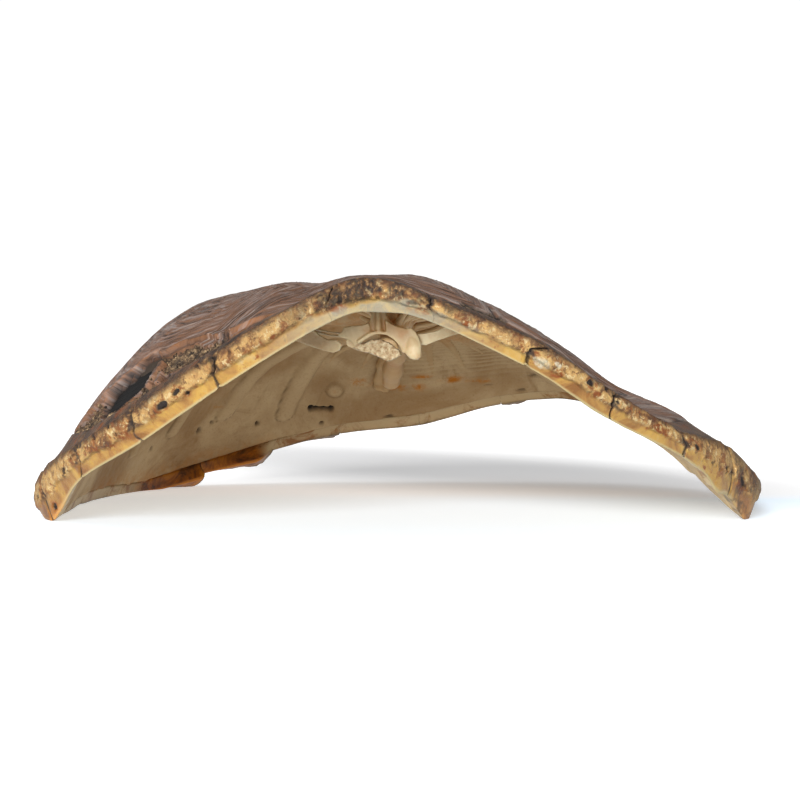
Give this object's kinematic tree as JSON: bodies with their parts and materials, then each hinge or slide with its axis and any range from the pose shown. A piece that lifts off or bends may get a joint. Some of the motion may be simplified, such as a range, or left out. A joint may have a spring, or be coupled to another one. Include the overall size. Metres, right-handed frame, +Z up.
{
  "type": "turtle shell",
  "caption": "Domed upper shell of a freshwater turtle: a bone vault with ribs and spine inside, covered by thin horn plates and edged by a toothed rim.",
  "frame": {"origin": "on the ground under the middle of the shell", "axes": "+Z up, the head end of the shell towards -Y and the tail end towards +Y, the animal's left flank towards -X"},
  "size_m": [0.302, 0.3287, 0.0985],
  "materials": {
    "bone": "matte dry bone",
    "vertebral_horn": "matte to satin weathered horn with fine streaks",
    "costal_horn": "matte to satin weathered horn with fine streaks",
    "marginal_horn": "satin yellow horn, pitted and stained"
  },
  "bodies": {
    "root": {"carapace_bone": "bone", "cervical_scute": "marginal_horn", "vertebral_scute_1": "vertebral_horn", "vertebral_scute_2": "vertebral_horn", "vertebral_scute_3": "vertebral_horn", "vertebral_scute_4": "vertebral_horn", "vertebral_scute_5": "vertebral_horn", "costal_scute_left_1": "costal_horn", "costal_scute_left_2": "costal_horn", "costal_scute_left_3": "costal_horn", "costal_scute_left_4": "costal_horn", "costal_scute_right_1": "costal_horn", "costal_scute_right_2": "costal_horn", "costal_scute_right_3": "costal_horn", "costal_scute_right_4": "costal_horn", "marginal_scute_left_1": "marginal_horn", "marginal_scute_left_2": "marginal_horn", "marginal_scute_left_3": "marginal_horn", "marginal_scute_left_4": "marginal_horn", "marginal_scute_left_5": "marginal_horn", "marginal_scute_left_6": "marginal_horn", "marginal_scute_left_7": "marginal_horn", "marginal_scute_left_8": "marginal_horn", "marginal_scute_left_9": "marginal_horn", "marginal_scute_left_10": "marginal_horn", "marginal_scute_left_11": "marginal_horn", "marginal_scute_left_12": "marginal_horn", "marginal_scute_right_1": "marginal_horn", "marginal_scute_right_2": "marginal_horn", "marginal_scute_right_3": "marginal_horn", "marginal_scute_right_4": "marginal_horn", "marginal_scute_right_5": "marginal_horn", "marginal_scute_right_6": "marginal_horn", "marginal_scute_right_7": "marginal_horn", "marginal_scute_right_8": "marginal_horn", "marginal_scute_right_9": "marginal_horn", "marginal_scute_right_10": "marginal_horn", "marginal_scute_right_11": "marginal_horn", "marginal_scute_right_12": "marginal_horn"}
  },
  "joints": []
}
